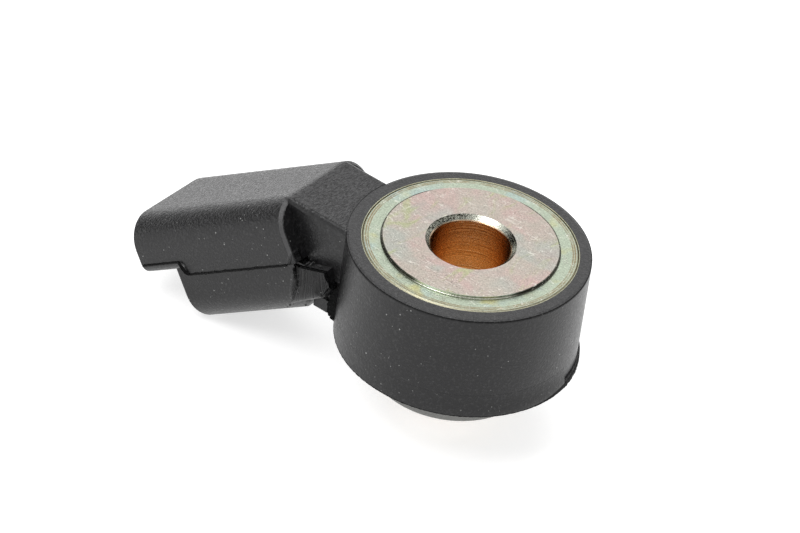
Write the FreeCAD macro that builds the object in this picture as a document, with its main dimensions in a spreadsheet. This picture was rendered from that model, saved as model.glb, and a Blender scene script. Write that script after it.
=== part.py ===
import FreeCAD, Part
import Sketcher
import os
from math import cos, pi, sin

from FreeCAD import Placement, Rotation, Vector

# Engine knock sensor, bolted to the engine block through its middle.
# The origin is the centre of the seating face, on the axis of the bolt hole.
# +Z points out of the seating face, and the plug housing leans away towards -X and down.

# Driving sizes in millimetres and degrees: name, value, what it measures
SIZES = [
    ("bore_dia", 8.4, "clearance hole for an M8 bolt"),
    ("bore_chamfer", 0.55, "chamfer at the seating end of the bore"),
    ("seat_dia", 18.5, "raised seating face"),
    ("seat_step", 0.36, "height of the seating face above the flange"),
    ("flange_dia", 22.7, "flange of the sleeve"),
    ("flange_thick", 2.2, "thickness of the flange under the step"),
    ("flange_round", 0.3, "rounded outer edge of the flange"),
    ("stem_dia", 12.8, "stem of the sleeve"),
    ("stem_proud", 0.2, "stem past the end of the moulding"),
    ("groove_depth", 0.4, "retaining grooves in the stem"),
    ("groove_width", 0.8, "width of one retaining groove"),
    ("tube_wall", 0.3, "wall of the insulating tube"),
    ("ring_slack", 0.1, "clearance between tube and rings"),
    ("stack_width", 3.6, "insulating washers, from the tube to their outside"),
    ("piezo_inset", 0.3, "piezo ring and contact discs, inside the edge of the washers"),
    ("mass_inset", 0.2, "seismic mass, inside the edge of the washers"),
    ("washer_thick", 0.25, "thickness of an insulating washer"),
    ("contact_thick", 0.3, "thickness of a contact disc"),
    ("piezo_thick", 2.4, "thickness of the piezo ring"),
    ("mass_thick", 2.6, "thickness of the seismic mass"),
    ("spring_thick", 0.45, "sheet of the disc spring"),
    ("spring_rise", 0.3, "cone height of the pressed spring"),
    ("spring_inset", 1.1, "disc spring, inside the edge of the washers"),
    ("nut_wall", 1.6, "retaining nut, from the stem to its flats"),
    ("nut_thick", 1.9, "thickness of the retaining nut"),
    ("rim_width", 1.4, "rim of the moulded barrel round the flange"),
    ("barrel_depth", 12.2, "length of the barrel from its rim"),
    ("rim_round", 0.3, "softened edges of the barrel and its collar"),
    ("rim_ease", 0.09, "middle of the rim's double bevel, in from the sharp corner"),
    ("moulding_shift", 0.2, "barrel off the bore axis, towards the plug side"),
    ("flash_shift", 0.3, "mismatch of the lower mould half"),
    ("flash_depth", 0.5, "height of the mismatched band"),
    ("collar_root_dia", 17.9, "collar where it leaves the barrel"),
    ("collar_end_dia", 17.3, "collar at its end"),
    ("collar_depth", 4.35, "length of the collar"),
    ("plug_offset", 2.95, "middle of the plug, sideways from the bore axis"),
    ("neck_width", 10.0, "width of the neck"),
    ("neck_reach", 18.05, "bore axis to the bend of the neck"),
    ("neck_depth", 6.3, "depth of the neck at the bend"),
    ("neck_drop", 0.8, "extra depth of the neck at the barrel"),
    ("neck_round", 0.6, "softened top edges of the neck"),
    ("bend_round", 1.2, "round across the bend of the neck"),
    ("bend_lap", 0.7, "neck carried on down the top of the hood"),
    ("hood_tilt", 33.6, "downward lean of the hood, in degrees"),
    ("hood_length", 22.5, "length of the hood along its top"),
    ("hood_width", 14.6, "width of the hood"),
    ("hood_round", 3.3, "round along the top edges of the hood"),
    ("hood_side", 6.5, "depth of the wide part behind the lip"),
    ("lip_side", 6.1, "depth of the wide part at the mouth"),
    ("lip_length", 6.4, "length of the overhanging lip"),
    ("lip_round", 1.3, "round under the lip"),
    ("back_round", 0.4, "softened back edge of the hood"),
    ("key_width", 12.5, "width of the lower part of the hood"),
    ("key_depth", 12.8, "depth of the lower part under the top face"),
    ("key_setback", 3.85, "mouth of the lower part behind the lip"),
    ("key_round", 3.6, "round along the bottom edges"),
    ("key_back_round", 4.0, "round where the bottom turns up at the back"),
    ("key_back", 1.2, "back of the lower part, short of the back of the wide part"),
    ("hood_wall", 1.35, "wall of the socket"),
    ("socket_depth", 14.0, "depth of the socket from the mouth"),
    ("stub_proud", 2.1, "trimmed stub in front of the heel"),
    ("stub_gap", 1.7, "trimmed stub to the wall of the barrel"),
    ("stub_top", 5.2, "top of the stub under the rim"),
    ("stub_climb", 1.4, "rise of the stub's top towards the barrel"),
    ("stub_end", 2.5, "height of the blunt end of the stub"),
    ("stub_length", 4.8, "length of the stub"),
    ("stub_fall", 4.4, "fall of the stub's underside towards the hood"),
    ("stub_bevel", 0.6, "bevels at the blunt end of the stub"),
    ("stub_round", 1.4, "round under the stub"),
    ("heel_width", 8.1, "width of the heel under the neck"),
    ("heel_proud", 1.0, "heel in front of the barrel, at its foot"),
    ("heel_proud_top", 1.7, "heel in front of the barrel, under the neck"),
    ("tab_size", 1.5, "width and height of the small tab on the heel"),
    ("tab_reach", 1.8, "reach of the tab in front of the heel"),
    ("tab_shift", 0.3, "tab past the side of the heel"),
    ("tab_lift", 0.5, "tab above the foot of the heel"),
    ("blade_width", 1.6, "width of a terminal blade"),
    ("blade_thick", 0.8, "thickness of a terminal blade"),
    ("blade_length", 8.5, "length of a blade in the socket"),
    ("blade_pitch", 5.0, "distance between the blades"),
    ("blade_drop", 6.3, "middle of the blades under the top face"),
    ("lead_lap", 2.2, "lap of a lead on its contact tab"),
]

# Levels and places worked out from the sheet, as expressions
rim = "(-sizes.seat_step)"
flange_back = f"({rim} - sizes.flange_thick)"
washer_1_end = f"({flange_back} - sizes.washer_thick)"
contact_1_end = f"({washer_1_end} - sizes.contact_thick)"
piezo_end = f"({contact_1_end} - sizes.piezo_thick)"
contact_2_end = f"({piezo_end} - sizes.contact_thick)"
washer_2_end = f"({contact_2_end} - sizes.washer_thick)"
mass_end = f"({washer_2_end} - sizes.mass_thick)"
spring_end = f"({mass_end} - sizes.spring_thick - sizes.spring_rise)"
nut_end = f"({spring_end} - sizes.nut_thick)"
barrel_end = f"({rim} - sizes.barrel_depth)"
collar_end = f"({barrel_end} - sizes.collar_depth)"
stem_end = f"({collar_end} - sizes.stem_proud)"
bore_radius = "(sizes.bore_dia / 2)"
stem_radius = "(sizes.stem_dia / 2)"
tube_radius = f"({stem_radius} + sizes.tube_wall)"
ring_bore = f"({tube_radius} + sizes.ring_slack)"
stack_radius = f"({tube_radius} + sizes.stack_width)"
piezo_radius = f"({stack_radius} - sizes.piezo_inset)"
barrel_radius = "(sizes.flange_dia / 2 + sizes.rim_width)"
plug_side = "(-sizes.plug_offset)"
tilt = "(sizes.hood_tilt * 1 deg)"
heel_face = "(sizes.plug_offset + sizes.heel_width / 2)"
heel_front = f"(-sqrt(pow({barrel_radius}; 2) - pow({heel_face}; 2)))"


def fill_sheet(doc):
    sheet = doc.addObject("Spreadsheet::Sheet", "sizes")
    for row, (alias, value, meaning) in enumerate(SIZES, 1):
        sheet.set(f"A{row}", meaning)
        sheet.set(f"B{row}", str(value))
        sheet.setAlias(f"B{row}", alias)
    doc.recompute()
    return sheet


def new_body(doc, name):
    body = doc.addObject("PartDesign::Body", name)
    body.Label = name
    return body


def hold_point(sketch, line, axis, expression):
    """Ties the start of one line to a distance from the sketch's origin."""
    if expression == "0":
        axis_line = -2 if axis == "X" else -1
        sketch.addConstraint(Sketcher.Constraint("PointOnObject", line, 1, axis_line))
        return
    index = sketch.addConstraint(Sketcher.Constraint("Distance" + axis, -1, 1, line, 1, 1.0))
    sketch.setExpression(f"Constraints[{index}]", expression)


def draw_outline(body, name, plane_role, corners):
    """A closed outline of straight lines, each corner given by two expressions."""
    sketch = body.newObject("Sketcher::SketchObject", name)
    plane = [each for each in body.Origin.OriginFeatures if each.Role == plane_role][0]
    sketch.AttachmentSupport = [(plane, "")]
    sketch.MapMode = "FlatFace"
    total = len(corners)
    spread = [Vector(cos(2 * pi * i / total), sin(2 * pi * i / total), 0) for i in range(total)]
    for i in range(total):
        sketch.addGeometry(Part.LineSegment(spread[i], spread[(i + 1) % total]), False)
    for i in range(total):
        sketch.addConstraint(Sketcher.Constraint("Coincident", i, 2, (i + 1) % total, 1))
    for i, (across, up) in enumerate(corners):
        hold_point(sketch, i, "X", across)
        hold_point(sketch, i, "Y", up)
    return sketch


def turn(body, corners):
    """A solid of revolution about Z from a half section in the XZ plane."""
    sketch = draw_outline(body, body.Name + "_section", "XZ_Plane", corners)
    turned = body.newObject("PartDesign::Revolution", body.Name + "_turned")
    turned.Profile = sketch
    turned.ReferenceAxis = (sketch, ["V_Axis"])
    turned.Angle = 360
    sketch.Visibility = False
    return turned


def pad_sideways(body, name, corners, width):
    """A side profile in the XZ plane, padded both ways along Y."""
    sketch = draw_outline(body, name + "_profile", "XZ_Plane", corners)
    pad = body.newObject("PartDesign::Pad", name)
    pad.Profile = sketch
    pad.SideType = "Symmetric"
    pad.setExpression("Length", width)
    sketch.Visibility = False
    return pad


def round_edges(doc, body, name, feature, chosen, radius, kind="PartDesign::Fillet"):
    """Rounds the chosen edges of a feature, or chamfers them."""
    doc.recompute()
    edges = [f"Edge{i}" for i, edge in enumerate(feature.Shape.Edges, 1) if chosen(edge)]
    rounded = body.newObject(kind, name)
    rounded.Base = (feature, edges)
    rounded.setExpression("Radius" if kind == "PartDesign::Fillet" else "Size", radius)
    return rounded


def place(item, x, y, z, turn_axis=None, angle=None):
    """Binds a placement to the sheet."""
    if turn_axis is not None:
        item.Placement = Placement(Vector(0, 0, 0), Rotation(turn_axis, 10))
        item.setExpression("Placement.Rotation.Angle", angle)
    for axis, expression in (("x", x), ("y", y), ("z", z)):
        if expression != "0":
            item.setExpression("Placement.Base." + axis, expression)


def make_ring(doc, name, top, bottom, inner, outer):
    """A plain flat ring between two levels."""
    body = new_body(doc, name)
    turn(body, [(inner, bottom), (outer, bottom), (outer, top), (inner, top)])
    return body


def make_sleeve(doc):
    """Steel bush with a flange, a raised seating face and grooves that hold the moulding."""
    body = new_body(doc, "sleeve")
    seat = "(sizes.seat_dia / 2)"
    flange = "(sizes.flange_dia / 2)"
    corners = [
        (bore_radius, stem_end),
        (stem_radius, stem_end),
    ]
    for turn_number in (1, 2):
        low = f"({collar_end} + {2 * turn_number} * sizes.groove_width - sizes.groove_width)"
        high = f"({low} + sizes.groove_width)"
        depth = f"({stem_radius} - sizes.groove_depth)"
        corners += [(stem_radius, low), (depth, low), (depth, high), (stem_radius, high)]
    corners += [
        (stem_radius, flange_back),
        (flange, flange_back),
        (flange, f"{rim} - sizes.flange_round"),
        (f"{flange} - sizes.flange_round", rim),
        (seat, rim),
        (seat, "0"),
        (f"{bore_radius} + sizes.bore_chamfer", "0"),
        (bore_radius, "-sizes.bore_chamfer"),
    ]
    turn(body, corners)
    return body


def make_contact_disc(doc, name, top, bottom, side):
    """Thin brass ring with a tab that reaches out of the stack to its lead."""
    body = new_body(doc, name)
    turn(body, [(ring_bore, bottom), (piezo_radius, bottom), (piezo_radius, top), (ring_bore, top)])
    sketch = draw_outline(body, name + "_tab_outline", "XY_Plane", tab_corners(side))
    tab = body.newObject("PartDesign::Pad", name + "_tab")
    tab.Profile = sketch
    tab.setExpression("Length", "sizes.contact_thick")
    sketch.setExpression("AttachmentOffset.Base.z", bottom)
    return body


def tab_corners(side):
    """The tab's outline: from inside the ring out to the end of the lap."""
    middle = f"({plug_side} + {side} * sizes.blade_pitch / 2)"
    low = f"({middle} - sizes.blade_width / 2)"
    high = f"({middle} + sizes.blade_width / 2)"
    inner = f"(-{ring_bore})"
    end = f"(-{stack_radius} - sizes.lead_lap)"
    return [(end, low), (inner, low), (inner, high), (end, high)]


def make_disc_spring(doc):
    """Coned spring washer: its outer edge presses the mass, its inner edge the nut."""
    body = new_body(doc, "disc_spring")
    outer = f"({stack_radius} - sizes.spring_inset)"
    inner = f"({stem_radius} + sizes.ring_slack)"
    turn(body, [
        (inner, spring_end),
        (outer, f"{spring_end} + sizes.spring_rise"),
        (outer, mass_end),
        (inner, f"{mass_end} - sizes.spring_rise"),
    ])
    return body


def make_nut(doc):
    """Hexagonal nut that keeps the stack pressed, screwed on the stem."""
    body = new_body(doc, "retaining_nut")
    corner_radius = f"(({stem_radius} + sizes.nut_wall) / cos(30 deg))"
    corners = []
    for i in range(6):
        corners.append((f"{corner_radius} * cos({60 * i + 30} deg)",
                        f"{corner_radius} * sin({60 * i + 30} deg)"))
    corners[1] = ("0", f"{corner_radius}")
    corners[4] = ("0", f"-{corner_radius}")
    hexagon = draw_outline(body, "nut_hexagon", "XY_Plane", corners)
    hexagon.setExpression("AttachmentOffset.Base.z", nut_end)
    pad = body.newObject("PartDesign::Pad", "nut_blank")
    pad.Profile = hexagon
    pad.setExpression("Length", "sizes.nut_thick")
    bore = draw_outline(body, "nut_bore_section", "XZ_Plane", [
        ("0", nut_end),
        (stem_radius, nut_end),
        (stem_radius, spring_end),
        ("0", spring_end),
    ])
    groove = body.newObject("PartDesign::Groove", "nut_bore")
    groove.Profile = bore
    groove.ReferenceAxis = (bore, ["V_Axis"])
    groove.Angle = 360
    return body


def make_terminal(doc, name, side, lap_level):
    """Blade in the socket, with a flat lead that laps the tab of its contact disc."""
    middle = f"({plug_side} + {side} * sizes.blade_pitch / 2)"
    blade = doc.addObject("Part::Box", name + "_blade")
    reach = "(sizes.hood_length - sizes.socket_depth + sizes.blade_length)"
    blade.setExpression("Length", reach)
    blade.setExpression("Width", "sizes.blade_width")
    blade.setExpression("Height", "sizes.blade_thick")
    drop = "(sizes.blade_drop + sizes.blade_thick / 2)"
    place(
        blade,
        f"-sizes.neck_reach - {reach} * cos({tilt}) + {drop} * sin({tilt})",
        f"{middle} - sizes.blade_width / 2",
        f"{rim} - {reach} * sin({tilt}) - {drop} * cos({tilt})",
        Vector(0, -1, 0),
        tilt,
    )
    bend_x = f"(-sizes.neck_reach + sizes.blade_drop * sin({tilt}))"
    bend_z = f"({rim} - sizes.blade_drop * cos({tilt}))"
    riser = doc.addObject("Part::Box", name + "_riser")
    riser.setExpression("Length", "sizes.blade_thick")
    riser.setExpression("Width", "sizes.blade_width")
    rise = f"abs({lap_level} - {bend_z})"
    riser.setExpression("Height", f"{rise} + sizes.blade_thick")
    place(
        riser,
        f"{bend_x} - sizes.blade_thick / 2",
        f"{middle} - sizes.blade_width / 2",
        f"min({lap_level}; {bend_z}) - sizes.blade_thick / 2",
    )
    lead = doc.addObject("Part::Box", name + "_lead")
    lead.setExpression("Length", f"-{bend_x} - {stack_radius} + sizes.blade_thick / 2")
    lead.setExpression("Width", "sizes.blade_width")
    lead.setExpression("Height", "sizes.blade_thick")
    place(
        lead,
        f"{bend_x} - sizes.blade_thick / 2",
        f"{middle} - sizes.blade_width / 2",
        f"{lap_level} - sizes.blade_thick / 2",
    )
    terminal = doc.addObject("Part::MultiFuse", name)
    terminal.Label = name
    terminal.Shapes = [blade, riser, lead]
    terminal.Refine = True
    return terminal


def make_barrel(doc):
    """Outer form of the moulded barrel and its collar, still without its inside."""
    body = new_body(doc, "barrel_form")
    turn(body, [
        ("0", collar_end),
        ("sizes.collar_end_dia / 2 - sizes.rim_round", collar_end),
        ("sizes.collar_end_dia / 2", f"{collar_end} + sizes.rim_round"),
        ("sizes.collar_root_dia / 2", barrel_end),
        (barrel_radius, barrel_end),
        (barrel_radius, f"{rim} - sizes.rim_round"),
        (f"{barrel_radius} - sizes.rim_ease", f"{rim} - sizes.rim_ease"),
        (f"{barrel_radius} - sizes.rim_round", rim),
        ("0", rim),
    ])
    place(body, "0", "-sizes.moulding_shift", "0")
    return body


def make_flash_band(doc):
    """Lowest band of the barrel, made by a mould half that sat a little to one side."""
    band = doc.addObject("Part::Cylinder", "flash_band")
    band.setExpression("Radius", barrel_radius)
    band.setExpression("Height", "sizes.flash_depth")
    place(band, "sizes.flash_shift", "-sizes.moulding_shift", barrel_end)
    return band


def make_neck(doc):
    """Flat-topped neck that carries the hood, level with the rim of the barrel."""
    body = new_body(doc, "neck_form")
    bend_x = "(-sizes.neck_reach)"
    low_x = f"(-sizes.neck_reach + sizes.neck_depth * tan({tilt}))"
    inner = f"(-{barrel_radius} / 2)"
    pad = pad_sideways(body, "neck_pad", [
        (bend_x, rim),
        (f"{bend_x} - sizes.bend_lap * cos({tilt})", f"{rim} - sizes.bend_lap * sin({tilt})"),
        (low_x, f"{rim} - sizes.neck_depth"),
        (inner, f"{rim} - sizes.neck_depth - sizes.neck_drop"),
        (inner, rim),
    ], "sizes.neck_width")
    reach = doc.sizes.neck_reach
    top = -doc.sizes.seat_step
    bend = round_edges(
        doc, body, "bend_rounded", pad,
        lambda edge: abs(edge.CenterOfMass.x + reach) < 0.01 and abs(edge.CenterOfMass.z - top) < 0.01,
        "sizes.bend_round",
    )
    round_edges(
        doc, body, "neck_sides_rounded", bend,
        lambda edge: runs_along_x(edge) and abs(edge.CenterOfMass.z - top) < 0.01,
        "sizes.neck_round",
    )
    place(body, "0", plug_side, "0")
    return body


def make_hood(doc):
    """Plug hood in its own tilted frame: X runs up its slope, its top face is at Z = 0."""
    body = new_body(doc, "hood_form")
    mouth = "(-sizes.hood_length)"
    lip_end = f"({mouth} + sizes.lip_length)"
    upper = pad_sideways(body, "hood_upper", [
        (mouth, "-sizes.lip_side"),
        (lip_end, "-sizes.lip_side"),
        (lip_end, "-sizes.hood_side"),
        ("0", "-sizes.hood_side"),
        ("0", "0"),
        (mouth, "0"),
    ], "sizes.hood_width")
    sheet = doc.sizes
    top = round_edges(
        doc, body, "hood_top_rounds", upper,
        lambda edge: runs_along_x(edge) and abs(edge.CenterOfMass.z) < 0.01,
        "sizes.hood_round",
    )
    lip = round_edges(
        doc, body, "lip_rounds", top,
        lambda edge: runs_along_x(edge) and abs(edge.CenterOfMass.z + sheet.lip_side) < 0.01
        and edge.CenterOfMass.x < -sheet.hood_length / 2,
        "sizes.lip_round",
    )
    round_edges(
        doc, body, "back_chamfer", lip,
        lambda edge: edge.BoundBox.XMin > -0.01 and edge.CenterOfMass.z > -sheet.hood_side + 0.01,
        "sizes.back_round", "PartDesign::Chamfer",
    )
    place_hood(body)
    return body


def runs_along_x(edge):
    """Only true for a straight edge along the slope of the hood."""
    box = edge.BoundBox
    return box.XLength > 0.1 and box.YLength < 0.01 and box.ZLength < 0.01


def place_hood(item):
    place(item, "-sizes.neck_reach", plug_side, rim, Vector(0, -1, 0), tilt)


def make_key(doc):
    """Narrower lower part of the hood, rounded along its bottom and up at its back."""
    mouth = "(-sizes.hood_length + sizes.key_setback)"
    inside = "(-sizes.hood_side / 2)"
    side_form = new_body(doc, "key_side_form")
    side_pad = pad_sideways(side_form, "key_side_pad", [
        (mouth, "-sizes.key_depth"),
        ("-sizes.key_back", "-sizes.key_depth"),
        ("-sizes.key_back", inside),
        (mouth, inside),
    ], "sizes.hood_width")
    depth = doc.sizes.key_depth
    back = doc.sizes.key_back
    round_edges(
        doc, side_form, "key_back_rounded", side_pad,
        lambda edge: abs(edge.CenterOfMass.z + depth) < 0.01 and abs(edge.CenterOfMass.x + back) < 0.01,
        "sizes.key_back_round",
    )
    end_form = new_body(doc, "key_end_form")
    end_pad = pad_sideways(end_form, "key_end_pad", [
        ("-sizes.hood_length", "-sizes.key_depth"),
        ("0", "-sizes.key_depth"),
        ("0", inside),
        ("-sizes.hood_length", inside),
    ], "sizes.key_width")
    round_edges(
        doc, end_form, "key_bottom_rounded", end_pad,
        lambda edge: runs_along_x(edge) and abs(edge.CenterOfMass.z + depth) < 0.01,
        "sizes.key_round",
    )
    place_hood(side_form)
    place_hood(end_form)
    key = doc.addObject("Part::MultiCommon", "key_form")
    key.Shapes = [side_form, end_form]
    return key


def make_socket(doc):
    """Hollow of the hood: a wide upper part and a narrower lower part, open at the mouth."""
    halves = []
    floor = "(-sizes.hood_length + sizes.socket_depth)"
    before = "(-sizes.hood_length - sizes.hood_wall)"
    upper_low = "(-sizes.lip_side + sizes.hood_wall)"
    levels = [
        ("socket_upper", "-sizes.hood_wall", upper_low, "sizes.hood_width", "sizes.hood_round"),
        ("socket_lower", f"{upper_low} / 2", "-sizes.key_depth + sizes.hood_wall",
         "sizes.key_width", "sizes.key_round"),
    ]
    for name, high, low, width, radius in levels:
        body = new_body(doc, name)
        pad = pad_sideways(body, name + "_pad", [
            (before, low), (floor, low), (floor, high), (before, high),
        ], f"{width} - 2 * sizes.hood_wall")
        doc.recompute()
        box = pad.Shape.BoundBox
        edge_level = box.ZMax if name == "socket_upper" else box.ZMin
        round_edges(
            doc, body, name + "_rounds", pad,
            lambda edge: runs_along_x(edge) and abs(edge.CenterOfMass.z - edge_level) < 0.01,
            f"{radius} - sizes.hood_wall",
        )
        place_hood(body)
        halves.append(body)
    return halves


def make_heel(doc):
    """Heel under the neck, down the side of the barrel to its foot."""
    body = new_body(doc, "heel_form")
    inner = f"(-{barrel_radius} / 2)"
    top = f"({rim} - sizes.neck_depth)"
    pad_sideways(body, "heel_pad", [
        (f"{heel_front} - sizes.heel_proud_top", top),
        (f"{heel_front} - sizes.heel_proud", barrel_end),
        (inner, barrel_end),
        (inner, top),
    ], "sizes.heel_width")
    place(body, "0", plug_side, "0")
    return body


def make_stub(doc):
    """Trimmed stub beside the heel, in front of the neck, between hood and barrel."""
    body = new_body(doc, "stub_form")
    face = "(sizes.heel_width / 2 + sizes.stub_proud)"
    end = f"(-sqrt(pow({barrel_radius}; 2) - pow({face} + sizes.plug_offset; 2)) - sizes.stub_gap)"
    top = f"({rim} - sizes.stub_top)"
    start = f"{end} - sizes.stub_length"
    pad = pad_sideways(body, "stub_pad", [
        (start, f"{top} - sizes.stub_climb"),
        (f"{end} - sizes.stub_bevel", top),
        (end, f"{top} - 2 * sizes.stub_bevel"),
        (end, f"{top} - sizes.stub_end"),
        (f"{end} - sizes.stub_bevel", f"{top} - sizes.stub_end - 2 * sizes.stub_bevel"),
        (start, f"{top} - sizes.stub_end - sizes.stub_fall"),
    ], "sizes.stub_proud + sizes.rim_round")
    low = -doc.sizes.seat_step - doc.sizes.stub_top - doc.sizes.stub_end
    round_edges(
        doc, body, "stub_rounded", pad,
        lambda edge: edge.CenterOfMass.y < 0 and edge.BoundBox.YLength < 0.01
        and edge.CenterOfMass.z < low - 0.01,
        "sizes.stub_round",
    )
    place(body, "0", f"{plug_side} - ({face} - sizes.stub_proud / 2 + sizes.rim_round / 2)", "0")
    return body


def make_tab(doc):
    """Small tab at the foot of the heel."""
    tab = doc.addObject("Part::Box", "tab_form")
    tab.setExpression("Length", "sizes.tab_reach")
    tab.setExpression("Width", "sizes.tab_size")
    tab.setExpression("Height", "sizes.tab_size")
    place(
        tab,
        f"{heel_front} - sizes.heel_proud - sizes.tab_reach",
        f"{plug_side} - sizes.heel_width / 2 - sizes.tab_shift",
        f"{barrel_end} + sizes.tab_lift",
    )
    return tab


def make_stack_space(doc):
    """Room that the sleeve and the pressed stack take up inside the moulding."""
    body = new_body(doc, "stack_space")
    flange = "(sizes.flange_dia / 2)"
    turn(body, [
        ("0", nut_end),
        (stack_radius, nut_end),
        (stack_radius, flange_back),
        (flange, flange_back),
        (flange, f"{rim} + sizes.seat_step"),
        ("0", f"{rim} + sizes.seat_step"),
    ])
    return body


def make_housing(doc, sleeve, terminals, discs):
    """One moulding: barrel, collar, neck, heel and hood, round the sleeve and the stack."""
    outside = doc.addObject("Part::MultiFuse", "moulding_form")
    outside.Shapes = [
        make_barrel(doc),
        make_flash_band(doc),
        make_neck(doc),
        make_hood(doc),
        make_key(doc),
        make_heel(doc),
        make_stub(doc),
        make_tab(doc),
    ]
    inside = doc.addObject("Part::MultiFuse", "moulding_inside")
    inside.Shapes = [make_stack_space(doc), sleeve] + make_socket(doc) + terminals + discs
    bore = doc.addObject("Part::Cylinder", "bolt_space")
    bore.setExpression("Radius", bore_radius)
    bore.setExpression("Height", f"-{stem_end}")
    place(bore, "0", "0", stem_end)
    opened = doc.addObject("Part::Cut", "moulding_opened")
    opened.Base = outside
    opened.Tool = bore
    housing = doc.addObject("Part::Cut", "housing")
    housing.Label = "housing"
    housing.Base = opened
    housing.Tool = inside
    return housing


def build(doc):
    fill_sheet(doc)
    sleeve = make_sleeve(doc)
    mass_radius = f"({stack_radius} - sizes.mass_inset)"
    tube = make_ring(doc, "insulating_tube", flange_back, mass_end, stem_radius, tube_radius)
    washer_1 = make_ring(doc, "insulating_washer_1", flange_back, washer_1_end, tube_radius, stack_radius)
    contact_1 = make_contact_disc(doc, "contact_disc_1", washer_1_end, contact_1_end, -1)
    piezo = make_ring(doc, "piezo_ring", contact_1_end, piezo_end, ring_bore, piezo_radius)
    contact_2 = make_contact_disc(doc, "contact_disc_2", piezo_end, contact_2_end, 1)
    washer_2 = make_ring(doc, "insulating_washer_2", contact_2_end, washer_2_end, tube_radius, stack_radius)
    mass = make_ring(doc, "mass_ring", washer_2_end, mass_end, ring_bore, mass_radius)
    spring = make_disc_spring(doc)
    nut = make_nut(doc)
    lap_1 = f"({contact_1_end} - sizes.blade_thick / 2)"
    lap_2 = f"({piezo_end} + sizes.blade_thick / 2)"
    terminal_1 = make_terminal(doc, "terminal_1", -1, lap_1)
    terminal_2 = make_terminal(doc, "terminal_2", 1, lap_2)
    housing = make_housing(doc, sleeve, [terminal_1, terminal_2], [contact_1, contact_2])
    return [
        housing, sleeve, tube, washer_1, contact_1, piezo, contact_2, washer_2, mass, spring, nut,
        terminal_1, terminal_2,
    ]


def check(doc, pieces):
    """Stops before anything is written if a feature failed or a solid is bad."""
    for item in doc.Objects:
        if "Invalid" in item.State or "Error" in item.State:
            raise RuntimeError(f"{item.Name} failed: {item.State}")
    for piece in pieces:
        if piece.Shape.isNull() or not piece.Shape.isValid():
            raise RuntimeError(f"{piece.Label} is not a valid solid")


def write_parts(pieces):
    os.makedirs("parts", exist_ok=True)
    for piece in pieces:
        piece.Shape.exportStep(f"parts/{piece.Label}.step")
        print(piece.Label, len(piece.Shape.Solids), "solid", round(piece.Shape.Volume, 2), "mm3")


document = FreeCAD.newDocument("knock_sensor")
made = build(document)
document.recompute()
check(document, made)
write_parts(made)
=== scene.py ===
import math
import random

import bmesh
import bpy
from mathutils import Matrix, Vector, noise


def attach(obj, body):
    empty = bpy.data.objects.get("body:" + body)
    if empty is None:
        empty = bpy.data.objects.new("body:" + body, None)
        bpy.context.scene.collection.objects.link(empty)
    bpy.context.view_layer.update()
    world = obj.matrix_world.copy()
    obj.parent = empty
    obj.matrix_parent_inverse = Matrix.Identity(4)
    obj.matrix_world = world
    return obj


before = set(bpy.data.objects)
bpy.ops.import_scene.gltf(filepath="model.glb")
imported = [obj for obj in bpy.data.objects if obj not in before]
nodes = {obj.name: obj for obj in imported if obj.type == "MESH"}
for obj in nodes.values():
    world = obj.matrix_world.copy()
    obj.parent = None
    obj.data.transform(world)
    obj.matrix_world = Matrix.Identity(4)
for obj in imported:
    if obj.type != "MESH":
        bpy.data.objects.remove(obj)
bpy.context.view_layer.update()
scene = bpy.context.scene
mm = 0.001
print("frame loaded:", len(nodes), "nodes")


# small helpers for shader nodes

def feed(tree, socket, value):
    if isinstance(value, bpy.types.NodeSocket):
        tree.links.new(value, socket)
    else:
        socket.default_value = value


def put(tree, kind, inputs=None, **settings):
    node = tree.nodes.new(kind)
    for name, value in settings.items():
        setattr(node, name, value)
    for key, value in (inputs or {}).items():
        feed(tree, node.inputs[key], value)
    return node


def calc(tree, operation, *values):
    node = put(tree, "ShaderNodeMath", operation=operation)
    for i, value in enumerate(values):
        feed(tree, node.inputs[i], value)
    return node.outputs[0]


def times(tree, first, *others):
    for other in others:
        first = calc(tree, "MULTIPLY", first, other)
    return first


def fade(tree, value, low, high, start=0.0, end=1.0):  # soft step; low may be above high
    node = put(tree, "ShaderNodeMapRange", {0: value, 1: low, 2: high, 3: start, 4: end})
    node.interpolation_type = "SMOOTHSTEP"
    return node.outputs[0]


def band(tree, value, middle, half, soft):  # 1 within half of the middle, 0 past the soft edge
    away = calc(tree, "ABSOLUTE", calc(tree, "SUBTRACT", value, middle))
    return fade(tree, away, half + soft, half)


def between(tree, factor, first, second):  # two plain values
    return put(tree, "ShaderNodeMix", {0: factor, 2: first, 3: second}, data_type="FLOAT").outputs[0]


def mixed(tree, factor, first, second, mode="MIX"):  # two colours
    node = put(tree, "ShaderNodeMix", data_type="RGBA", blend_type=mode)
    feed(tree, node.inputs[0], factor)
    feed(tree, node.inputs[6], first)
    feed(tree, node.inputs[7], second)
    return node.outputs[2]


def cloud(tree, place, scale, detail=2.0, roughness=0.5, warp=0.0):
    node = put(tree, "ShaderNodeTexNoise", {
        "Vector": place, "Scale": scale, "Detail": detail, "Roughness": roughness, "Distortion": warp,
    })
    return node.outputs["Fac"]


def lineNoise(tree, along, scale, detail, roughness=0.5):  # changes in one direction alone
    node = put(tree, "ShaderNodeTexNoise", {
        "W": along, "Scale": scale, "Detail": detail, "Roughness": roughness,
    }, noise_dimensions="1D")
    return node.outputs["Fac"]


def stretched(tree, place, scale, turn=(0.0, 0.0, 0.0), shift=(0.0, 0.0, 0.0)):
    inputs = {"Vector": place, "Location": shift, "Scale": scale, "Rotation": turn}
    return put(tree, "ShaderNodeMapping", inputs).outputs[0]


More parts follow.
